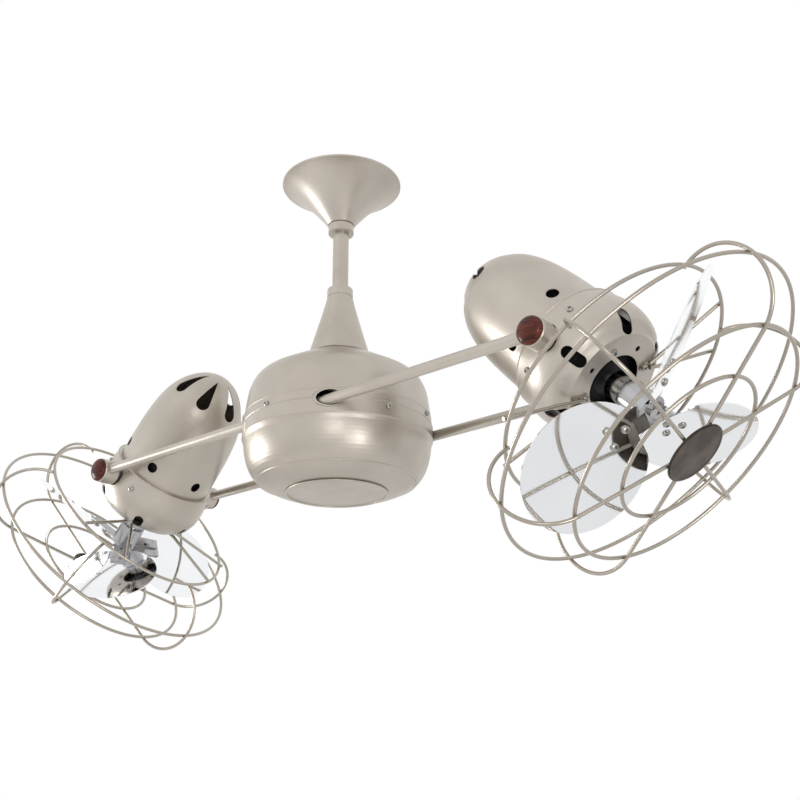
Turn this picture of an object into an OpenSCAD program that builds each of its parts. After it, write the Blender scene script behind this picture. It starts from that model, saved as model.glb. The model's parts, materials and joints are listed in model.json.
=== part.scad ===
// Twin head ceiling fan: a short downrod carries a round body that slews about the vertical.
// Two level arm rods run through the body and hold a tilting fan head at each end.
// Origin: centre of the hanger plate on the ceiling plane. X runs along the arms, Z is up.

/* [Ceiling mount] */
// Ceiling plane down to the axis of the arm rods
hang_drop = 345; // [330:5:700]
// Centre distance of the two slots in the hanger plate
slot_pitch = 88.9; // [80:0.1:100]
// Width of each slot
slot_w = 5.2; // [4.5:0.1:6]
// End to end length of each slot
slot_len = 12; // [8:0.5:16]
// Thickness of the hanger plate and its legs
hanger_t = 3; // [2:0.5:4]
// Width of the hanger plate
hanger_w = 30; // [26:1:36]
// Radius of the hanging ball
ball_r = 19; // [18:0.5:20]
// Ceiling plane down to the ball centre
ball_drop = 30; // [28:0.5:31]
// Radius of the canopy at the ceiling
canopy_r = 78; // [72:1:90]
// Height of the canopy
canopy_h = 60; // [58:1:70]
// Outer radius of the downrod tube
rod_r = 10.25; // [9:0.25:11]
// Wall of the downrod tube
rod_wall = 2.4; // [1.5:0.1:3]
// Radius of the two collars on the downrod
collar_r = 16.5; // [14:0.5:17]
// Height of each collar
collar_h = 12.5; // [8:0.5:16]

/* [Cone cover and slew shaft] */
// Radius of the cone cover at its foot
cone_r = 39; // [36:1:45]
// Radius of the cone cover at its top
cone_top_r = 16.5; // [15:0.5:18]
// Height of the cone cover
cone_h = 81; // [70:1:95]
// Radius of the slew shaft
shaft_r = 9; // [8:0.5:10]
// Radius of the coupling that joins downrod and shaft
coupling_r = 15; // [14:0.5:15.5]

/* [Body] */
// Radius of the body at its widest
body_r = 115.5; // [105:0.5:125]
// Arm axis up to the top of the dome
dome_h = 101; // [95:1:110]
// Arm axis down to the seam between the two housings
seam_drop = 12.5; // [11.5:0.5:16]
// Arm axis down to the underside of the body
bowl_drop = 77.5; // [72:0.5:90]
// Radius of the large bead round the underside
bead_r = 95.5; // [88:0.5:98]
// Radius of the bottom cap
cap_r = 62; // [50:1:70]
// Wall of all spun shells
wall = 1.2; // [0.8:0.1:1.6]

/* [Arms] */
// Body axis out to each tilt axis
arm_reach = 352.4; // [345:0.1:420]
// Half of the distance between the two arm rods
arm_half_gap = 89.9; // [89:0.1:93]
// Radius of the arm rods
arm_r = 6.35; // [5:0.05:6.6]
// Radius of the hole where an arm leaves the body
arm_hole_r = 9.5; // [8.5:0.5:10.5]
// How far that hole sits above the arm axis
arm_hole_up = 2.5; // [1:0.5:3]
// Radius of the pivot cups
cup_r = 16; // [15:0.5:18]
// Radius of the tilt axle
axle_r = 6; // [5:0.5:7]
// Height of the domed wooden cap on each cup
wood_h = 8; // [5:0.5:12]

/* [Heads] */
// Tilt of the right head below level at rest
tilt_right = 46.16; // [30:0.01:60]
// Tilt of the left head below level at rest
tilt_left = 45.28; // [30:0.01:60]
// Radius of the rear shell
rear_r = 66.2; // [64:0.1:67]
// Tilt axis back to the tip of the rear shell
rear_len = 183; // [170:1:200]
// Widest radius of the front shell
front_r = 75; // [74.6:0.1:76]
// Tilt axis forward to the front face
face_h = 46.6; // [45:0.1:50]
// Radius of the opening in the front face
mouth_r = 31.7; // [28:0.1:35]
// Radius of the motor
motor_r = 57.9; // [52:0.1:58.5]
// Radius of the motor shaft
spindle_r = 5; // [4:0.5:6]
// Number of teardrop slots at the rear tip
tip_slots = 7; // [5:1:9]
// Number of shoulder vents on the front shell
vents = 6; // [4:1:8]

/* [Fan blades] */
// Half length of the blade oval
blade_half_len = 72; // [60:1:73]
// Half width of the blade oval
blade_half_w = 60.5; // [50:0.5:61]
// Thickness of the blade sheet
blade_t = 1.4; // [1:0.1:2]
// Pitch of the blades
blade_pitch = 29.3; // [20:0.1:30]
// Radius of the shallow dish pressed into the blades
dish_r = 1100; // [900:50:2000]
// Radius of the hub behind the blades
hub_r = 17; // [15:0.5:19]

/* [Guards] */
// Radius of the guard wire
wire_r = 2; // [1.8:0.1:2.6]
// Radius of the widest ring of the guard
guard_r = 182.9; // [181:0.1:190]
// Radius of the badge disc
badge_r = 33.7; // [28:0.1:38]
// Sideways lean of the right guard on its wire struts
lean_right_side = -3.99; // [-5:0.01:5]
// Upward lean of the right guard
lean_right_up = 3.24; // [-6:0.01:6.5]
// Sideways lean of the left guard
lean_left_side = 4.7; // [-5:0.01:5]
// Upward lean of the left guard
lean_left_up = 6.45; // [-6:0.01:6.5]

/* [Hidden] */

$fn = 96;
RIGHT = 1;
LEFT = -1;
NICKEL = [0.73, 0.70, 0.65];
CHROME = [0.82, 0.84, 0.87];
STEEL = [0.56, 0.56, 0.57];
BLACK = [0.10, 0.10, 0.11];
WOOD = [0.38, 0.14, 0.09];
PEWTER = [0.38, 0.35, 0.32];

run_gap = 0.05;   // radial clearance of a shaft that turns in its bore
fit_gap = 0.1;    // clearance between pieces that are fixed to each other
seat_gap = 0.3;   // clearance between pieces that move past each other
cut = 1;          // how far a cutter runs past the face that it opens

// ---- shared outlines and shapes ----

// Points of a cubic curve, its first point left out so that curves can be chained
function curve(a, b, c, d, n = 10) =
    [for (i = [1 : n]) let (t = i / n, s = 1 - t)
        s * s * s * a + 3 * s * s * t * b + 3 * s * t * t * c + t * t * t * d];

// Outline moved to the right of its direction of travel
function inset(p, t) =
    [for (i = [0 : len(p) - 1])
        let (a = p[max(i - 1, 0)], b = p[min(i + 1, len(p) - 1)], d = (b - a) / norm(b - a))
        [max(0, p[i].x + t * d.y), p[i].y - t * d.x]];

function reversed(p) = [for (i = [len(p) - 1 : -1 : 0]) p[i]];

// A spun sheet shell from its outer outline
module spun(outline, t = wall) {
    rotate_extrude() polygon(concat(outline, reversed(inset(outline, t))));
}

module tube(ro, ri, h) {
    difference() {
        cylinder(r = ro, h = h);
        translate([0, 0, -cut]) cylinder(r = ri, h = h + 2 * cut);
    }
}

// A torus about Z
module bead(radius, wire) {
    rotate_extrude() translate([radius, 0]) circle(r = wire, $fn = 24);
}

// Copies at equal steps about Z
module around(count, phase = 0) {
    for (k = [0 : count - 1]) rotate([0, 0, phase + k * 360 / count]) children();
}

// A straight wire from a to b
module wire(a, b, r = wire_r) {
    d = b - a;
    translate(a) rotate([0, acos(d.z / norm(d)), atan2(d.y, d.x)]) cylinder(r = r, h = norm(d), $fn = 24);
}

// A button head screw that points along -Z, its head seated at z = 0
module screw(head_r, head_h, shank_r, length) {
    edge = head_h * 0.3;
    slope = [for (i = [0 : 6]) [head_r * cos(i * 15), edge + (head_h - edge) * sin(i * 15)]];
    socket_r = head_r * 0.42;
    difference() {
        union() {
            rotate_extrude() polygon(concat([[0, 0], [head_r, 0]], slope));
            translate([0, 0, -length]) cylinder(r = shank_r, h = length + edge);
        }
        translate([0, 0, head_h - socket_r]) cylinder(r = socket_r, h = head_h, $fn = 6);
    }
}

// ---- ceiling mount ----

canopy_points = concat([[canopy_r, 0], [canopy_r, -2]],
    curve([canopy_r, -2], [canopy_r - 18, -9], [collar_r + 16.5, -canopy_h + 22],
        [collar_r + 1.1, -canopy_h], 16), [[collar_r - 1.5, -canopy_h]]);
seat_hole_r = ball_r * 0.79;
seat_top = -ball_drop - sqrt(ball_r * ball_r - seat_hole_r * seat_hole_r) - fit_gap;
seat_r = ball_r + hanger_t;
leg_in = ball_r + 0.7;
leg_w = 16;
plate_x = canopy_r - 18;
pin_r = 2.5;
grub_r = 2;

module slot_cutter(length, width, depth) {
    for (s = [-1, 1]) translate([s * (length - width) / 2, 0, 0]) cylinder(r = width / 2, h = depth);
    translate([-(length - width) / 2, -width / 2, 0]) cube([length - width, width, depth]);
}

module hanger_bracket() {
    color(STEEL) difference() {
        union() {
            translate([-plate_x, -hanger_w / 2, -hanger_t]) cube([2 * plate_x, hanger_w, hanger_t]);
            for (s = [-1, 1])
                translate([-leg_w / 2, s * (leg_in + hanger_t / 2) - hanger_t / 2, seat_top - hanger_t])
                    cube([leg_w, hanger_t, -seat_top + hanger_t]);
            translate([-leg_w / 2, -leg_in - hanger_t, -hanger_t])
                cube([leg_w, 2 * (leg_in + hanger_t), hanger_t]);
            translate([0, 0, seat_top - hanger_t]) cylinder(r = seat_r, h = hanger_t);
        }
        translate([0, 0, seat_top - hanger_t - cut]) cylinder(r = seat_hole_r, h = hanger_t + 2 * cut);
        translate([0, 0, -hanger_t - cut]) cylinder(r = rod_r + 1, h = hanger_t + 2 * cut);
        for (s = [-1, 1]) translate([s * slot_pitch / 2, 0, -hanger_t - cut])
            slot_cutter(slot_len, slot_w, hanger_t + 2 * cut);
    }
}

module hanger_ball() {
    color(STEEL) translate([0, 0, -ball_drop]) difference() {
        sphere(r = ball_r);
        translate([0, 0, -ball_r - cut]) cylinder(r = rod_r + fit_gap, h = 2 * (ball_r + cut));
        rotate([90, 0, 0]) cylinder(r = pin_r, h = 3 * ball_r, center = true);
    }
}

module ball_pin() {
    color(STEEL) translate([0, 0, -ball_drop]) rotate([90, 0, 0])
        cylinder(r = pin_r - run_gap, h = 2 * ball_r - 3, center = true);
}

module canopy() {
    color(NICKEL) spun(canopy_points);
}

module canopy_collar() {
    color(NICKEL) translate([0, 0, -canopy_h - seat_gap - collar_h]) ribbed_collar();
}

// A turned collar with a fine step at each end and a threaded hole at its rear
module ribbed_collar() {
    step = 1.2;
    difference() {
        union() {
            cylinder(r = collar_r - step / 2, h = collar_h);
            translate([0, 0, step]) cylinder(r = collar_r, h = collar_h - 2 * step);
        }
        translate([0, 0, -cut]) cylinder(r = rod_r + fit_gap, h = collar_h + 2 * cut);
        translate([0, 0, collar_h / 2]) rotate([-90, 0, 0]) cylinder(r = grub_r + fit_gap, h = 2 * collar_r);
    }
}

// ---- downrod, cone cover and slew shaft, measured from the arm axis ----

cone_foot = dome_h - 2.5;
cone_rim = 0.9;
cone_top = cone_foot + cone_h;
coupling_foot = dome_h + 11;
coupling_h = 50;
rod_foot = coupling_foot + 24;
rod_top = hang_drop - ball_drop + ball_r + 3;
coupling_pin_z = coupling_foot + coupling_h - 14;
shaft_foot = -64;
shaft_top = rod_foot - 2;
shoulder_h = 4;
bearing_r = 20;
bearing_h = 10;
post_r = 24;
post_foot = -34;
flange_r = 28;
flange_h = 4;
shaft_hole_r = shaft_r + 5;
nut_h = 8;
nut_r = 14;

cone_points = concat([[cone_top_r, cone_top]],
    curve([cone_top_r, cone_top], [cone_top_r + 4.5, cone_top - 20],
        [cone_r - 8.5, cone_foot + 30], [cone_r - 0.4, cone_foot + 1.5]),
    [[cone_r, cone_foot + 1.2], [cone_r, cone_foot]]);

module at_arms() {
    translate([0, 0, -hang_drop]) children();
}

module downrod() {
    color(NICKEL) at_arms() difference() {
        translate([0, 0, rod_foot]) tube(rod_r, rod_r - rod_wall, rod_top - rod_foot);
        for (z = [coupling_pin_z, hang_drop - ball_drop])
            translate([0, 0, z]) rotate([90, 0, 0]) cylinder(r = pin_r, h = 3 * rod_r, center = true);
    }
}

module rod_collar() {
    color(NICKEL) at_arms() translate([0, 0, cone_top + fit_gap]) ribbed_collar();
}

// Grub screws that clamp the two collars on the downrod
module set_screws() {
    length = collar_r - rod_r - 4 * fit_gap;
    color(CHROME) for (z = [-canopy_h - seat_gap - collar_h / 2, cone_top + fit_gap + collar_h / 2 - hang_drop])
        translate([0, rod_r + fit_gap, z]) rotate([-90, 0, 0]) difference() {
            cylinder(r = grub_r, h = length);
            translate([0, 0, length / 2]) cylinder(r = grub_r / 2, h = length, $fn = 6);
        }
}

module cone_cover() {
    color(NICKEL) at_arms() {
        spun(cone_points);
        translate([0, 0, cone_foot + cone_rim]) bead(cone_r - 0.5, cone_rim);
    }
}

module coupling() {
    color(STEEL) at_arms() translate([0, 0, coupling_foot]) difference() {
        cylinder(r = coupling_r, h = coupling_h);
        translate([0, 0, -cut]) cylinder(r = shaft_r + fit_gap, h = coupling_h);
        translate([0, 0, rod_foot - coupling_foot]) cylinder(r = rod_r + fit_gap, h = coupling_h);
        translate([0, 0, coupling_pin_z - coupling_foot]) rotate([90, 0, 0])
            cylinder(r = pin_r, h = 3 * coupling_r, center = true);
    }
}

module coupling_pin() {
    color(STEEL) at_arms() translate([0, 0, coupling_pin_z]) rotate([90, 0, 0])
        cylinder(r = pin_r - run_gap, h = 2 * coupling_r + 4, center = true);
}

module slew_shaft() {
    color(STEEL) at_arms() {
        translate([0, 0, shaft_foot]) cylinder(r = shaft_r, h = shaft_top - shaft_foot);
        translate([0, 0, coupling_foot - shoulder_h]) cylinder(r = coupling_r - 2, h = shoulder_h);
    }
}

module retaining_nut() {
    color(STEEL) at_arms() translate([0, 0, post_foot - seat_gap - nut_h]) difference() {
        cylinder(r = nut_r, h = nut_h, $fn = 6);
        translate([0, 0, -cut]) cylinder(r = shaft_r + fit_gap, h = nut_h + 2 * cut);
    }
}

module slip_ring() {
    rings = 3;
    pitch = 5;
    color(BLACK) at_arms() translate([0, 0, shaft_foot + 1]) difference() {
        union() {
            cylinder(r = shaft_r + 3, h = rings * pitch + 2);
            for (k = [0 : rings - 1]) translate([0, 0, 2 + k * pitch]) cylinder(r = shaft_r + 5, h = 3);
        }
        translate([0, 0, -cut]) cylinder(r = shaft_r + fit_gap, h = rings * pitch + 4);
    }
}

// ---- body that slews about the shaft ----

dome_points = concat([[shaft_hole_r, dome_h], [flange_r + 2, dome_h]],
    curve([flange_r + 2, dome_h], [body_r - 70.5, dome_h - 4], [body_r - 43.5, dome_h - 20],
        [body_r - 23.5, dome_h - 30.5]),
    curve([body_r - 23.5, dome_h - 30.5], [body_r - 11.5, dome_h - 36.8], [body_r - 5.5, 52],
        [body_r - 3.5, 32]),
    curve([body_r - 3.5, 32], [body_r - 2, 20], [body_r - 0.2, 10], [body_r, 0], 6),
    [[body_r, -seam_drop]]);
lip_r = body_r + 1;
bowl_points = concat([[lip_r, -seam_drop], [lip_r, -seam_drop - 1.5], [lip_r - 1.2, -seam_drop - 3.5]],
    curve([lip_r - 1.9, -seam_drop - 3.5], [lip_r - 2.7, -seam_drop - 17.5],
        [lip_r - 5.5, -bowl_drop + 27.5], [bead_r + 4, -bowl_drop + 15.7]),
    curve([bead_r + 4, -bowl_drop + 15.7], [bead_r + 2.5, -bowl_drop + 14.4],
        [bead_r + 1, -bowl_drop + 13.4], [bead_r, -bowl_drop + 12.6], 4),
    curve([bead_r, -bowl_drop + 12.6], [bead_r - 7.5, -bowl_drop + 7.5],
        [cap_r + 14, -bowl_drop + 1.5], [cap_r, -bowl_drop + 0.5]),
    [[cap_r - 7, -bowl_drop + 0.5]]);
line_heights = [3.2, 14.8];
line_wire = 0.8;
line_proud = 0.4;
ring_top = 17;
ring_low = -seam_drop + 1;
ring_r = body_r - 2.9;
ring_t = 4;
grommet_t = 1.6;
beam_w = 26;
beam_h = 20;
socket_r = arm_r + 4.5;
socket_len = 44;
band_screw_places = [[-92, 6.2], [-16, -2], [21, 10]];
band_head_r = 3.4;
screw_r = 2;

module bearing(outer) {
    groove = 0.6;
    color(STEEL) difference() {
        cylinder(r = outer, h = bearing_h);
        translate([0, 0, -cut]) cylinder(r = shaft_r + run_gap, h = bearing_h + 2 * cut);
        for (z = [-cut, bearing_h - groove]) translate([0, 0, z])
            tube(outer - 3, shaft_r + 3, groove + cut);
    }
}

module upper_bearing() {
    at_arms() translate([0, 0, dome_h - 17]) bearing(bearing_r);
}

module lower_bearing() {
    at_arms() translate([0, 0, post_foot]) bearing(bearing_r);
}

// Bores along X for both arm rods
module arm_bores(radius, length, up = 0) {
    for (s = [-1, 1]) translate([-length / 2, s * arm_half_gap, up]) rotate([0, 90, 0])
        cylinder(r = radius, h = length);
}

module carrier() {
    top = dome_h - wall;
    color(STEEL) at_arms() difference() {
        union() {
            translate([0, 0, post_foot]) cylinder(r = post_r, h = top - post_foot);
            translate([0, 0, top - flange_h]) cylinder(r = flange_r, h = flange_h);
            intersection() {
                cube([beam_w, 2 * ring_r, beam_h], center = true);
                cylinder(r = ring_r - ring_t - fit_gap, h = 2 * beam_h, center = true);
            }
            arm_bores(socket_r, socket_len);
        }
        arm_bores(arm_r + fit_gap, socket_len + 2 * cut);
        translate([0, 0, post_foot - cut]) cylinder(r = shaft_r + 3.5, h = top - post_foot + 2 * cut);
        translate([0, 0, post_foot - cut]) cylinder(r = bearing_r + fit_gap, h = bearing_h + fit_gap + cut);
        translate([0, 0, dome_h - 17 - fit_gap]) cylinder(r = bearing_r + fit_gap, h = 20);
    }
}

module fixing_ring() {
    color(STEEL) at_arms() difference() {
        translate([0, 0, ring_low]) tube(ring_r, ring_r - ring_t, ring_top - ring_low);
        arm_bores(arm_hole_r + grommet_t, 3 * body_r, arm_hole_up);
        band_screw_holes(screw_r + fit_gap);
    }
}

module band_screw_holes(radius) {
    for (p = band_screw_places) for (s = [0, 180])
        rotate([0, 0, p[0] + s]) translate([ring_r - 2 * ring_t, 0, p[1]]) rotate([0, 90, 0])
            cylinder(r = radius, h = 3 * ring_t);
}

module upper_housing() {
    color(NICKEL) at_arms() difference() {
        union() {
            spun(dome_points);
            for (z = line_heights) translate([0, 0, z]) bead(skin_r(z, dome_points) + line_proud - line_wire, line_wire);
        }
        arm_bores(arm_hole_r + grommet_t + fit_gap, 3 * body_r, arm_hole_up);
        band_screw_holes(screw_r + fit_gap);
    }
}

module lower_housing() {
    color(NICKEL) at_arms() {
        spun(bowl_points);
        translate([0, 0, -bowl_drop + 12.8]) bead(bead_r - 0.4, 1.3);
    }
}

module bottom_cap() {
    rim_wire = 1.3;
    color(NICKEL) at_arms() translate([0, 0, -bowl_drop + 0.4]) {
        translate([0, 0, -wall]) cylinder(r = cap_r - rim_wire, h = wall);
        translate([0, 0, -rim_wire]) bead(cap_r - rim_wire, rim_wire);
    }
}

module band_screws() {
    color(CHROME) at_arms() for (p = band_screw_places) for (s = [0, 180])
        rotate([0, 0, p[0] + s]) translate([skin_r(p[1], dome_points) + line_proud + 2 * fit_gap, 0, p[1]]) rotate([0, 90, 0])
            screw(band_head_r, 2.2, screw_r, 6.5);
}

module grommets() {
    color(NICKEL) at_arms() intersection() {
        difference() {
            arm_bores(arm_hole_r + grommet_t, 2 * body_r, arm_hole_up);
            arm_bores(arm_hole_r, 3 * body_r, arm_hole_up);
        }
        translate([0, 0, -body_r / 2]) tube(body_r + 0.9, body_r - 2.5, body_r);
    }
}

rod_end = arm_reach + cup_r - 10;

module arm_rod(s) {
    color(NICKEL) at_arms() translate([-rod_end, s * arm_half_gap, 0]) rotate([0, 90, 0])
        cylinder(r = arm_r, h = 2 * rod_end);
}

// ---- pivot cups ----

boss_end = front_r + seat_gap / 3;
washer_t = 0.6;
cup_from = boss_end + washer_t + seat_gap + 0.1;
cup_to = arm_half_gap + arm_r + 1.75;
cup_recess = 0.8;
axle_end = arm_half_gap - arm_r - 1;
plug_r = cup_r - 2.6;

module pivot_cups(s) {
    h = cup_to - cup_from;
    color(NICKEL) at_arms() translate([s * arm_reach, 0, 0]) for (side = [-1, 1]) difference() {
        rotate([-side * 90, 0, 0]) translate([0, 0, cup_from]) rotate_extrude()
            polygon([[0, 0], [cup_r - 1, 0], [cup_r, 1], [cup_r, h - 1], [cup_r - 0.8, h], [0, h]]);
        rotate([-side * 90, 0, 0]) translate([0, 0, cup_from - cut])
            cylinder(r = axle_r + run_gap, h = axle_end + seat_gap - cup_from + cut);
        rotate([-side * 90, 0, 0]) translate([0, 0, cup_to - cup_recess]) cylinder(r = plug_r + fit_gap, h = 2);
        translate([0, side * arm_half_gap, 0]) rotate([0, -s * 90, 0])
            translate([0, 0, arm_reach - rod_end - fit_gap]) cylinder(r = arm_r + fit_gap, h = 3 * cup_r);
    }
}

module wood_caps(s) {
    base_r = cup_r - 0.7;
    rim = 1;
    dome = [for (i = [0 : 10]) [base_r * cos(i * 9), cup_recess + rim + (wood_h - rim) * sin(i * 9)]];
    color(WOOD) at_arms() translate([s * arm_reach, 0, 0]) for (side = [-1, 1])
        rotate([-side * 90, 0, 0]) translate([0, 0, cup_to - cup_recess + fit_gap]) rotate_extrude()
            polygon(concat([[0, 0], [plug_r, 0], [plug_r, cup_recess], [base_r, cup_recess]], dome));
}

// ---- tilting heads: Z is the fan axis, Y the tilt axle ----

function tilt_of(s) = s == RIGHT ? tilt_right : tilt_left;
rim_h = -20.8;
ring_back = -11.6;
ring_front = 8;
frame_in = motor_r + 0.3;
frame_out = motor_r + 11;
boss_r = 11.5;
motor_back = -70;
motor_face = 38;
face_screw_at = 38;
shell_screw_h = -2;
shell_screw_turns = [60, 120, 240, 300];
axle_gap = 4.5;
step_r = 56;
tip_slot_phase = [17.3, 2.1];
hole_r = 7;
hole_h = -41;
hole_phase = 54;
vent_phase = [36, 28];
face_hole_r = 3;
face_hole_at = 41;
cage_phase = [136.6, 47.5];

function face_phase(s) = cage_phase[s == RIGHT ? 1 : 0];

rear_points = concat([[rear_r, ring_back - fit_gap], [rear_r, -40]],
    curve([rear_r, -40], [rear_r, -80], [rear_r - 2.2, -108], [rear_r - 7.7, -127]),
    curve([rear_r - 7.7, -127], [rear_r - 12.2, -rear_len + 37], [rear_r - 32.2, -rear_len + 2],
        [0, -rear_len], 14));
front_points = concat([[mouth_r, face_h], [step_r - 1, face_h], [step_r, face_h - 1]],
    curve([step_r, face_h - 1.4], [step_r + 2.5, face_h - 3.6], [step_r + 4.5, face_h - 5],
        [step_r + 7, face_h - 6.4], 4),
    curve([step_r + 7, face_h - 6.6], [front_r - 4.5, face_h - 10], [front_r - 0.4, 22], [front_r, 10]),
    curve([front_r, 10], [front_r, 0], [front_r - 2.6, -8], [front_r - 3.5, rim_h + 1.5]),
    [[front_r - 3.5, rim_h]]);
function skin_r(h, outline) = lookup(h, [for (p = reversed(outline)) [p.y, p.x]]);

module at_head(s) {
    translate([s * arm_reach, 0, -hang_drop]) rotate([0, s * (90 + tilt_of(s)), 0]) children();
}

// Along the tilt axle on both sides
module along_axle() {
    for (side = [-1, 1]) rotate([-side * 90, 0, 0]) children();
}

// Radial drill at height h
module drill(h, radius, from, to) {
    translate([from, 0, h]) rotate([0, 90, 0]) cylinder(r = radius, h = to - from);
}

module trunnion_frame(s) {
    color(STEEL) at_head(s) {
        difference() {
            union() {
                translate([0, 0, ring_back]) cylinder(r = frame_out, h = ring_front - ring_back);
                along_axle() cylinder(r = boss_r, h = boss_end);
            }
            translate([0, 0, -boss_r - cut]) cylinder(r = frame_in, h = 2 * (boss_r + cut));
            for (turn = shell_screw_turns) rotate([0, 0, turn])
                drill(shell_screw_h, screw_r + fit_gap, frame_in + 3, frame_out + cut);
        }
        along_axle() translate([0, 0, boss_end - cut]) cylinder(r = axle_r, h = axle_end - boss_end + cut);
    }
}

module tilt_washers(s) {
    color(BLACK) at_head(s) along_axle() translate([0, 0, boss_end + fit_gap / 2])
        tube(boss_r + 1.5, axle_r + fit_gap, washer_t);
}

module motor(s) {
    fins = 40;
    fin_h = 3;
    core_r = 17;
    color(BLACK) at_head(s) difference() {
        union() {
            rotate_extrude() polygon([[0, motor_back], [motor_r - 6, motor_back], [motor_r, motor_back + 6],
                [motor_r, motor_face - fin_h], [0, motor_face - fin_h]]);
            around(fins) translate([core_r, -0.8, motor_face - fin_h - cut]) cube([17, 1.6, fin_h + cut]);
            translate([0, 0, motor_face - fin_h - cut]) cylinder(r = core_r + 1, h = fin_h + cut);
            around(4, face_phase(s)) translate([face_screw_at, 0, motor_face - fin_h - cut])
                cylinder(r = 4.5, h = face_h - wall - fit_gap - motor_face + fin_h + cut);
        }
        translate([0, 0, motor_back + 30]) cylinder(r = spindle_r + run_gap, h = 200);
        around(4, face_phase(s)) translate([face_screw_at, 0, motor_face - 6]) cylinder(r = screw_r + fit_gap, h = 20);
    }
}

tip_slot_r = 9;
tip_slot_len = 42;

// Round at the origin, drawn out to a point along X
module teardrop(radius, length, depth) {
    a = acos(radius / length);
    arc = [for (i = [0 : 12]) let (t = a + i * (360 - 2 * a) / 12) radius * [cos(t), sin(t)]];
    translate([0, 0, -depth / 2]) linear_extrude(depth) polygon(concat([[length, 0]], arc));
}

module rear_shell(s) {
    slot_from = [rear_r - 17, 0, -rear_len + 32];
    color(NICKEL) at_head(s) difference() {
        spun(rear_points);
        around(6, hole_phase) drill(hole_h, hole_r, rear_r / 2, rear_r + cut);
        around(tip_slots, tip_slot_phase[s == RIGHT ? 1 : 0]) translate(slot_from)
            rotate([0, 135, 0]) teardrop(tip_slot_r, tip_slot_len, 14);
    }
}

module front_shell(s) {
    color(NICKEL) at_head(s) difference() {
        union() {
            spun(front_points);
            translate([0, 0, rim_h]) tube(front_r - 3.5, rear_r + seat_gap, wall);
            translate([0, 0, rim_h + 0.6]) bead(front_r - 3.7, 0.9);
            translate([0, 0, face_h - 0.8]) bead(mouth_r, 0.8);
        }
        along_axle() translate([0, 0, rear_r]) cylinder(r = boss_r + axle_gap, h = 20);
        for (turn = shell_screw_turns) rotate([0, 0, turn])
            drill(shell_screw_h, screw_r + fit_gap, rear_r, front_r + cut);
        around(4, face_phase(s)) translate([face_screw_at, 0, 0]) cylinder(r = screw_r + fit_gap, h = 2 * face_h);
        around(4) translate([face_hole_at, 0, 0]) cylinder(r = face_hole_r, h = 2 * face_h);
        around(vents, vent_phase[s == RIGHT ? 1 : 0]) translate([front_r - 9, 0, face_h - 9])
            rotate([0, 45, 0]) translate([0, 0, -9]) slot_cutter(28, 13, 20);
    }
}

// ---- guard ----

weld = 0.7;
ring_step = 2 * wire_r - weld;
spokes = 6;
spoke_bend = 52;
spoke_mid = 60;
spoke_reach = 87;
front_h = 114.2;
inner_ring_r = 83;
rear_ring_angle = -85;
ring_angles = [-2, 85.6];
bend_r = guard_r - (spoke_bend - ring_step) * cos(ring_angles[0]);
plate_r = 20;
plate_t = 2;
spoke_from = plate_r / 2 + 2;
spoke_fall = atan2(front_h - spoke_mid, bend_r - spoke_from)
    - asin(spoke_bend / norm([bend_r - spoke_from, front_h - spoke_mid]));
strut_half = 14;
strut_places = [0, 90, 270];
strut_tab_t = 1.6;
strut_from = 44;
strut_knee = 59;
strut_spread = 2.6;
tab_r = 5.5;
tab_len = 14;
badge_t = 2.4;
stud_r = 3;

function lean_side(s) = s == RIGHT ? lean_right_side : lean_left_side;
function lean_up(s) = s == RIGHT ? lean_right_up : lean_left_up;

// The cage leans about the centre of the front face; its own Z starts at that face
module at_cage(s) {
    at_head(s) translate([0, 0, face_h]) rotate([lean_side(s), lean_up(s), 0])
        rotate([0, 0, face_phase(s)]) children();
}

// A point of the cage, seen from the front face square to the head
function lean_point(s, p) =
    let (a = lean_side(s), b = lean_up(s), c = face_phase(s),
         q = [p.x * cos(c) - p.y * sin(c), p.x * sin(c) + p.y * cos(c), p.z],
         u = [q.x, q.y * cos(a) - q.z * sin(a), q.y * sin(a) + q.z * cos(a)])
    [u.x * cos(b) + u.z * sin(b), u.y, -u.x * sin(b) + u.z * cos(b)];

// Place near the bend of the spokes, at an angle above its middle
function bend_place(angle, radius) = [bend_r + radius * cos(angle), spoke_mid + radius * sin(angle)];

rear_ring = bend_place(rear_ring_angle, spoke_bend + ring_step);
inner_ring = [inner_ring_r, front_h - (inner_ring_r - spoke_from) * tan(spoke_fall) - ring_step];

module spoke() {
    sleeve = wire_r + 0.15;
    from = [spoke_from, 0, front_h];
    end = [bend_r + spoke_bend * sin(spoke_fall), 0, spoke_mid + spoke_bend * cos(spoke_fall)];
    translate([bend_r, 0, spoke_mid]) rotate([90, 0, 0]) rotate([0, 0, -spoke_reach])
        rotate_extrude(angle = spoke_reach + 90 - spoke_fall) translate([spoke_bend, 0])
            circle(r = wire_r, $fn = 24);
    wire(from, end);
    translate(end) rotate([0, 90 + spoke_fall, 0]) translate([0, 0, -1]) cylinder(r = sleeve, h = 2);
}

// One leg of a strut: flat on the face to a knee, then out and under the rear ring of the cage
module strut(s, phase, side) {
    out = rear_ring.x + 3;
    turn = phase + face_phase(s);
    from = [strut_from * cos(turn) - side * strut_spread * sin(turn),
        strut_from * sin(turn) + side * strut_spread * cos(turn), strut_tab_t + fit_gap + ring_step / 2];
    to = lean_point(s, [out * cos(phase + side * strut_half), out * sin(phase + side * strut_half),
        rear_ring.y - 2 * wire_r - 3 * fit_gap]);
    part = (strut_knee - strut_from) / (out - strut_from);
    knee = [from.x + part * (to.x - from.x), from.y + part * (to.y - from.y), from.z];
    sleeve = 0.75 * ((to - knee) / norm(to - knee) + (knee - from) / norm(knee - from));
    wire(from, knee);
    wire(knee - sleeve, knee + sleeve, wire_r + 0.2);
    wire(knee, to);
}

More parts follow.
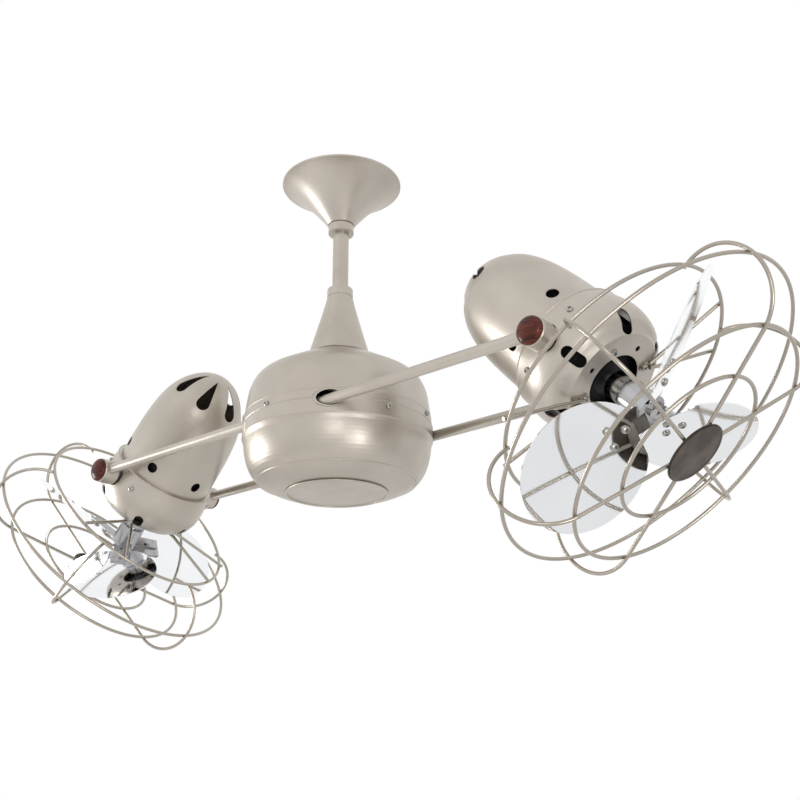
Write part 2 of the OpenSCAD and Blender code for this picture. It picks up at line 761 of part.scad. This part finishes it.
module strut_tab() {
    difference() {
        union() {
            cylinder(r = tab_r, h = strut_tab_t);
            translate([0, -tab_r, 0]) cube([tab_len, 2 * tab_r, strut_tab_t]);
        }
        translate([0, 0, -cut]) cylinder(r = screw_r + fit_gap, h = 2 * cut + strut_tab_t);
    }
}

module guard(s) {
    color(NICKEL) {
        at_cage(s) {
            for (p = [rear_ring, inner_ring, bend_place(ring_angles[0], spoke_bend - ring_step),
                bend_place(ring_angles[1], spoke_bend - ring_step)]) translate([0, 0, p.y]) bead(p.x, wire_r);
            around(spokes, 30) spoke();
            translate([0, 0, front_h - ring_step / 2 - plate_t]) tube(plate_r, stud_r + fit_gap, plate_t);
        }
    }
}

module guard_struts(s) {
    color(NICKEL) at_head(s) translate([0, 0, face_h]) for (phase = strut_places) {
        for (side = [-1, 1]) strut(s, phase, side);
        rotate([0, 0, phase + face_phase(s)]) translate([face_screw_at, 0, fit_gap]) strut_tab();
    }
}

module badge(s) {
    color(PEWTER) at_cage(s) translate([0, 0, front_h + wire_r + fit_gap]) {
        cylinder(r = badge_r, h = badge_t - 1);
        rotate_extrude() polygon([[0, 0], [badge_r - 0.8, 0], [badge_r - 0.8, badge_t - 0.4],
            [badge_r - 2.2, badge_t], [badge_r - 3.4, badge_t - 0.7], [0, badge_t + 0.3]]);
        translate([0, 0, -2 * wire_r - plate_t]) cylinder(r = stud_r, h = 2 * wire_r + plate_t + cut);
    }
}

module head_screws(s) {
    color(CHROME) at_head(s) {
        for (turn = shell_screw_turns) rotate([0, 0, turn])
            translate([skin_r(shell_screw_h, front_points) + 2 * seat_gap, 0, shell_screw_h])
                rotate([0, 90, 0]) screw(3.6, 2.2, screw_r, 9);
        for (k = [0 : 3]) rotate([0, 0, face_phase(s) + k * 90])
            translate([face_screw_at, 0, face_h + (k == 2 ? fit_gap : strut_tab_t + 2 * fit_gap)])
                screw(4, 2.4, screw_r, 10);
    }
}

// ---- rotors ----

blade_root = 24;
blade_centre = 88;
blade_skew = 10;
blade_h = 102;
rotor_phase = [88.5, 84.7];
spindle_top = blade_h + 4;
collar_from = motor_face + 10;
hub_from = 70;
neck_r = hub_r - 2;
groove = [2, 3];
hub_points = [[0, collar_from], [neck_r - 1, collar_from], [neck_r, collar_from + 1],
    [neck_r, hub_from - groove[1]], [neck_r - groove[0], hub_from - groove[1]],
    [neck_r - groove[0], hub_from], [hub_r - 1, hub_from], [hub_r, hub_from + 1], [hub_r, blade_h], [0, blade_h]];
arm_len = 60;
bracket_w = 26;
bracket_t = 3;
rib_w = 5;
rib_h = 4;
blade_screw_places = [[34, 0], [52, 9], [52, -9]];

module at_blade(s, k) {
    at_head(s) rotate([0, 0, rotor_phase[s == RIGHT ? 1 : 0] + k * 120]) translate([0, 0, blade_h])
        rotate([blade_pitch, 0, 0]) children();
}

module rotor_shaft(s) {
    color(STEEL) at_head(s) translate([0, 0, motor_back + 30 + seat_gap])
        cylinder(r = spindle_r, h = spindle_top - motor_back - 30 - seat_gap);
}

// The blade's own dish, as a ball that its sheet lies on
module dish(offset, pole = 90) {
    translate([blade_centre, 0, dish_r]) rotate([pole, 0, 0]) sphere(r = dish_r + offset, $fn = 200);
}

module blade_hub(s) {
    color(CHROME) {
        difference() {
            union() {
                at_head(s) {
                    rotate_extrude() polygon(hub_points);
                }
                for (k = [0 : 2]) at_blade(s, k) difference() {
                    translate([8, 0, -10]) {
                        translate([0, -bracket_w / 2, 7]) cube([arm_len - 8, bracket_w, bracket_t + 2]);
                        translate([0, -rib_w / 2, 7 - rib_h]) cube([arm_len - 12, rib_w, rib_h + 1]);
                    }
                    dish(blade_t / 2 + fit_gap, 0);
                    for (p = blade_screw_places) translate([p[0], p[1], -20])
                        cylinder(r = screw_r + fit_gap, h = 40);
                }
            }
            at_head(s) cylinder(r = spindle_r + fit_gap, h = 3 * blade_h);
        }
    }
}

module blade(s, k) {
    outline = [for (a = [-180 : 6 : 174])
        [max(blade_root, blade_centre + blade_half_len * cos(a)), blade_skew + blade_half_w * sin(a)]];
    color(CHROME) at_blade(s, k) difference() {
        intersection() {
            translate([0, 0, -12]) linear_extrude(24) polygon(outline);
            dish(blade_t / 2);
        }
        dish(-blade_t / 2);
        for (p = blade_screw_places) translate([p[0], p[1], -20]) cylinder(r = screw_r + fit_gap, h = 40);
    }
}

module blade_screws(s) {
    color(CHROME) for (k = [0 : 2]) at_blade(s, k) for (p = blade_screw_places)
        translate([p[0], p[1], blade_t / 2 + pow(p[0] - blade_centre, 2) / 2 / dish_r + seat_gap])
            screw(4.2, 2.6, screw_r, 4.5);
}

hanger_bracket();
hanger_ball();
ball_pin();
canopy();
canopy_collar();
downrod();
rod_collar();
set_screws();
cone_cover();
coupling();
coupling_pin();
slew_shaft();
retaining_nut();
slip_ring();
upper_bearing();
lower_bearing();
carrier();
fixing_ring();
upper_housing();
lower_housing();
bottom_cap();
band_screws();
grommets();
arm_rod(-1);  // arm_rod_front
arm_rod(1);  // arm_rod_rear
pivot_cups(RIGHT);  // pivot_cups_right
wood_caps(RIGHT);  // wood_caps_right
trunnion_frame(RIGHT);  // trunnion_frame_right
tilt_washers(RIGHT);  // tilt_washers_right
motor(RIGHT);  // motor_right
rear_shell(RIGHT);  // rear_shell_right
front_shell(RIGHT);  // front_shell_right
head_screws(RIGHT);  // head_screws_right
guard(RIGHT);  // guard_right
guard_struts(RIGHT);  // guard_struts_right
badge(RIGHT);  // badge_right
rotor_shaft(RIGHT);  // rotor_shaft_right
blade_hub(RIGHT);  // blade_hub_right
blade_screws(RIGHT);  // blade_screws_right
blade(RIGHT, 0);  // blade_a_right
blade(RIGHT, 1);  // blade_b_right
blade(RIGHT, 2);  // blade_c_right
pivot_cups(LEFT);  // pivot_cups_left
wood_caps(LEFT);  // wood_caps_left
trunnion_frame(LEFT);  // trunnion_frame_left
tilt_washers(LEFT);  // tilt_washers_left
motor(LEFT);  // motor_left
rear_shell(LEFT);  // rear_shell_left
front_shell(LEFT);  // front_shell_left
head_screws(LEFT);  // head_screws_left
guard(LEFT);  // guard_left
guard_struts(LEFT);  // guard_struts_left
badge(LEFT);  // badge_left
rotor_shaft(LEFT);  // rotor_shaft_left
blade_hub(LEFT);  // blade_hub_left
blade_screws(LEFT);  // blade_screws_left
blade(LEFT, 0);  // blade_a_left
blade(LEFT, 1);  // blade_b_left
blade(LEFT, 2);  // blade_c_left
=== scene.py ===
"""Looks of a twin head ceiling fan: finishes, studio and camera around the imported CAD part."""

import json
from math import radians

import bpy
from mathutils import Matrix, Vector

# The photograph's camera, in the part's frame: its place in metres, turns in degrees, sensor in
# millimetres, picture and focal length in pixels
CAMERA_AT = Vector((0.91195, -0.94235, -0.78882))
CAMERA_TURN = (110.3359, 0.2238, 40.8101)
SENSOR = 36
PICTURE = 800
FOCAL_PIXELS = 1128.11
NEAREST = 0.05

# Studio, in metres and watts: the world's light on things, the floor with a glow that is only seen,
# and disc lamps that all aim at one place
WORLD_LIGHT = 0.6
FLOOR_Z = -1.8
FLOOR_SIZE = 12
FLOOR_GLOW = 0.3
FLOOR_LOW = (0.83, 0.83, 0.83)
FLOOR_HIGH = (0.86, 0.86, 0.86)
LAMP_AIM = Vector((0, 0, -0.35))
LAMPS = {
    "key": {"place": (-2.1, -0.9, -0.55), "size": 0.9, "power": 20},
    "fill": {"place": (2.2, -0.75, -1.05), "size": 0.9, "power": 10},
    "top": {"place": (-0.4, -2.2, 1.1), "size": 2.4, "power": 2},
    "front": {"place": (1.5, -1.75, -0.45), "size": 0.5, "power": 3},
}

# Colours, as linear values
WHITE = (1, 1, 1, 1)
NICKEL = (0.545, 0.497, 0.437)
NICKEL_DARK = (0.43, 0.385, 0.33)
WIRE = (0.40, 0.36, 0.305)
CHROME = (0.90, 0.915, 0.935)
HUB_CHROME = (0.44, 0.44, 0.45)
SCREW = (0.42, 0.40, 0.37)
STEEL = (0.56, 0.55, 0.53)
BLACK_PAINT = (0.012, 0.012, 0.013)
RUBBER = (0.018, 0.018, 0.018)
PLASTIC = (0.025, 0.025, 0.027)
MAHOGANY = (0.15, 0.028, 0.014)
MAHOGANY_DARK = (0.035, 0.006, 0.003)
PEWTER = (0.115, 0.094, 0.078)
PEWTER_DARK = (0.055, 0.044, 0.035)


# ---- materials ----

class Nodes:
    """A material's node tree, with short calls to add and join nodes."""

    def __init__(self, name):
        self.material = bpy.data.materials.new(name)
        self.material.use_nodes = True
        self.tree = self.material.node_tree
        self.shader = self.tree.nodes["Principled BSDF"]
        self.places = self.add("ShaderNodeTexCoord").outputs["Object"]

    def add(self, kind, **inputs):
        node = self.tree.nodes.new(kind)
        for name, value in inputs.items():
            self.put(node.inputs[name], value)
        return node

    def put(self, socket, value):
        if isinstance(value, bpy.types.NodeSocket):
            self.tree.links.new(value, socket)
        else:
            socket.default_value = value

    def set(self, **inputs):
        """Sets or links the shader's own sockets, whose names have spaces for underscores."""
        for name, value in inputs.items():
            self.put(self.shader.inputs[name.replace("_", " ")], value)

    def noise(self, scale, detail, stretch=(1, 1, 1)):
        """Noise with about this many features to the metre, times the stretch along each axis."""
        moved = self.add("ShaderNodeMapping", Vector=self.places, Scale=stretch)
        noise = self.add("ShaderNodeTexNoise", Vector=moved.outputs[0], Scale=scale, Detail=detail)
        return noise.outputs["Fac"]

    def ramp(self, factor, *stops):
        node = self.add("ShaderNodeValToRGB", Fac=factor)
        band = node.color_ramp
        while len(band.elements) < len(stops):
            band.elements.new(1)
        for element, (place, colour) in zip(band.elements, stops):
            element.position = place
            element.color = (*colour, 1)
        return node.outputs["Color"]

    def level(self, factor, low, high, start=0.3, end=0.7):
        """Turns a factor from start to end into a value from low to high."""
        node = self.add("ShaderNodeMapRange", Value=factor)
        for name, value in (("From Min", start), ("From Max", end), ("To Min", low), ("To Max", high)):
            node.inputs[name].default_value = value
        return node.outputs["Result"]

    def bump(self, height, depth, strength):
        return self.add("ShaderNodeBump", Height=height, Distance=depth, Strength=strength).outputs["Normal"]


def darker(colour, share):
    return tuple(value * share for value in colour)


def satin(name, colour, metal=0.75, rough=0.36, grain=2200, depth=0.00003):
    """Satin plate on sheet, bar or wire: a fine grain, slow colour change and slightly uneven gloss."""
    n = Nodes(name)
    cloud = n.noise(scale=9, detail=4)
    fine = n.noise(grain, detail=2)
    gloss = n.noise(scale=40, detail=3)
    n.set(Base_Color=n.ramp(cloud, (0.25, NICKEL_DARK), (0.6, colour)), Metallic=metal,
          Roughness=n.level(gloss, rough - 0.04, rough + 0.05),
          Normal=n.bump(fine, depth, strength=0.35))
    return n.material


def turned(name, colour, rough=0.3):
    """Turned metal, with fine marks in its colour, gloss and surface."""
    n = Nodes(name)
    marks = n.noise(scale=900, detail=3)
    n.set(Base_Color=n.ramp(marks, (0.3, darker(colour, share=0.86)), (0.65, colour)), Metallic=0.9,
          Roughness=n.level(marks, rough - 0.06, rough + 0.08),
          Normal=n.bump(marks, depth=0.00004, strength=0.5))
    return n.material


def polished(name, colour, rough=0.05):
    """Chrome plate: near mirror, with a faint haze and a slow wave in the sheet."""
    n = Nodes(name)
    cloud = n.noise(scale=14, detail=2)
    haze = n.noise(scale=60, detail=4)
    wave = n.noise(scale=9, detail=1)
    n.set(Base_Color=n.ramp(cloud, (0.3, darker(colour, share=0.95)), (0.7, colour)), Metallic=1.0,
          Roughness=n.level(haze, rough, rough + 0.03),
          Normal=n.bump(wave, depth=0.0001, strength=0.2))
    return n.material


def painted(name, colour, rough=0.45, grain=1500, shine=0.5):
    """Paint, rubber or moulded plastic with a light texture."""
    n = Nodes(name)
    cloud = n.noise(scale=30, detail=4)
    gloss = n.noise(scale=120, detail=3)
    fine = n.noise(grain, detail=2)
    n.set(Base_Color=n.ramp(cloud, (0.3, darker(colour, share=0.8)), (0.7, colour)), Metallic=0.0,
          Roughness=n.level(gloss, rough - 0.05, rough + 0.07), Specular_IOR_Level=shine,
          Normal=n.bump(fine, depth=0.00015, strength=0.4))
    return n.material


def wood(name):
    """Turned mahogany under a clear varnish."""
    n = Nodes(name)
    warp = n.noise(scale=35, detail=4, stretch=(1, 6, 6))
    grain = n.noise(scale=420, detail=5, stretch=(0.14, 1, 1))
    mixed = n.add("ShaderNodeMath")
    mixed.operation = "MULTIPLY"
    n.put(mixed.inputs[0], warp)
    n.put(mixed.inputs[1], grain)
    n.set(Base_Color=n.ramp(mixed.outputs[0], (0.16, MAHOGANY_DARK), (0.34, MAHOGANY)),
          Roughness=n.level(grain, low=0.35, high=0.5), Specular_IOR_Level=0.12, Coat_Weight=0.3,
          Coat_Roughness=0.08, Normal=n.bump(grain, depth=0.0001, strength=0.3))
    return n.material


def pewter(name):
    """Antique cast plate: a dark patina in random patches, with finer pits in its gloss and surface."""
    n = Nodes(name)
    cloud = n.noise(scale=38, detail=4)
    pits = n.noise(scale=900, detail=4)
    n.set(Base_Color=n.ramp(cloud, (0.38, PEWTER_DARK), (0.62, PEWTER)), Metallic=0.8,
          Roughness=n.level(pits, low=0.5, high=0.32), Normal=n.bump(pits, depth=0.0002, strength=0.5))
    return n.material


FINISHES = {
    "nickel_shell": satin("nickel_shell_finish", NICKEL),
    "nickel_bar": satin("nickel_bar_finish", NICKEL, rough=0.34, grain=700, depth=0.00001),
    "guard_wire_nickel": satin("guard_wire_finish", WIRE, metal=0.95, rough=0.24, grain=300, depth=0.000001),
    "blade_chrome": polished("blade_finish", CHROME),
    "hub_chrome": polished("hub_finish", HUB_CHROME, rough=0.12),
    "bright_screws": turned("screw_finish", SCREW, rough=0.22),
    "plated_steel": turned("steel_finish", STEEL),
    "slip_ring_plastic": painted("slip_ring_finish", PLASTIC),
    "black_rubber": painted("rubber_finish", RUBBER, rough=0.6),
    "motor_black": painted("motor_finish", BLACK_PAINT, rough=0.4, grain=500, shine=0.2),
    "mahogany": wood("mahogany_finish"),
    "pewter": pewter("badge_finish"),
}


def finish_nodes(nodes, record):
    """Gives every CAD node the detailed finish of its slot in the record."""
    slots = {part["node"]: part["material_slot"] for part in record["subparts"]}
    for name, node in nodes.items():
        node.data.materials.clear()
        node.data.materials.append(FINISHES[slots[name]])


# ---- studio ----

def seen_ray(tree):
    """1 for what is seen directly, in a gloss or through glass, 0 for the light that falls on things."""
    path = tree.nodes.new("ShaderNodeLightPath")
    seen = path.outputs["Is Camera Ray"]
    for kind in ("Is Glossy Ray", "Is Transmission Ray"):
        either = tree.nodes.new("ShaderNodeMath")
        either.operation = "MAXIMUM"
        tree.links.new(seen, either.inputs[0])
        tree.links.new(path.outputs[kind], either.inputs[1])
        seen = either.outputs[0]
    return seen


def studio_floor():
    half = FLOOR_SIZE / 2
    mesh = bpy.data.meshes.new("floor")
    mesh.from_pydata([(x * half, y * half, FLOOR_Z) for x, y in ((-1, -1), (1, -1), (1, 1), (-1, 1))],
                     [], [(0, 1, 2, 3)])
    floor = bpy.data.objects.new("floor", mesh)
    bpy.context.scene.collection.objects.link(floor)
    n = Nodes("floor_finish")
    cloud = n.noise(scale=3, detail=2)
    n.set(Base_Color=n.ramp(cloud, (0.3, FLOOR_LOW), (0.7, FLOOR_HIGH)), Roughness=0.7,
          Emission_Color=WHITE,
          Emission_Strength=n.level(seen_ray(n.tree), low=0, high=FLOOR_GLOW, start=0, end=1))
    floor.data.materials.append(n.material)


def studio_world():
    """A white world, at full strength for what is seen and lower for the light that it gives."""
    world = bpy.data.worlds.new("studio")
    bpy.context.scene.world = world
    world.use_nodes = True
    tree = world.node_tree
    tree.nodes.clear()
    level = tree.nodes.new("ShaderNodeMapRange")
    tree.links.new(seen_ray(tree), level.inputs["Value"])
    level.inputs["To Min"].default_value = WORLD_LIGHT
    level.inputs["To Max"].default_value = 1.0
    back = tree.nodes.new("ShaderNodeBackground")
    back.inputs["Color"].default_value = WHITE
    tree.links.new(level.outputs[0], back.inputs["Strength"])
    out = tree.nodes.new("ShaderNodeOutputWorld")
    tree.links.new(back.outputs[0], out.inputs[0])


def studio_lamps():
    for name, lamp in LAMPS.items():
        data = bpy.data.lights.new(name, "AREA")
        data.shape = "DISK"
        data.size = lamp["size"]
        data.energy = lamp["power"]
        light = bpy.data.objects.new(name, data)
        bpy.context.scene.collection.objects.link(light)
        light.location = lamp["place"]
        light.rotation_euler = (LAMP_AIM - Vector(lamp["place"])).to_track_quat("-Z", "Y").to_euler()


def camera():
    data = bpy.data.cameras.new("camera")
    data.sensor_width = SENSOR
    data.lens = FOCAL_PIXELS / PICTURE * SENSOR
    data.clip_start = NEAREST
    view = bpy.data.objects.new("camera", data)
    bpy.context.scene.collection.objects.link(view)
    view.location = CAMERA_AT
    view.rotation_euler = [radians(turn) for turn in CAMERA_TURN]
    bpy.context.scene.camera = view


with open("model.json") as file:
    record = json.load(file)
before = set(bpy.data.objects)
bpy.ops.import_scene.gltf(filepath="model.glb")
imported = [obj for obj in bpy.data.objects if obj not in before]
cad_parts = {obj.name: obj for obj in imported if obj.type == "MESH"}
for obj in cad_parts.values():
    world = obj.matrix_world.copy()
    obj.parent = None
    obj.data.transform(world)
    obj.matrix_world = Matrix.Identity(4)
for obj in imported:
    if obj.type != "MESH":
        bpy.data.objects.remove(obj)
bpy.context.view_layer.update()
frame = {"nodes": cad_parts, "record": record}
finish_nodes(frame["nodes"], frame["record"])
studio_floor()
studio_world()
studio_lamps()
camera()
bpy.context.scene.view_settings.view_transform = "Standard"
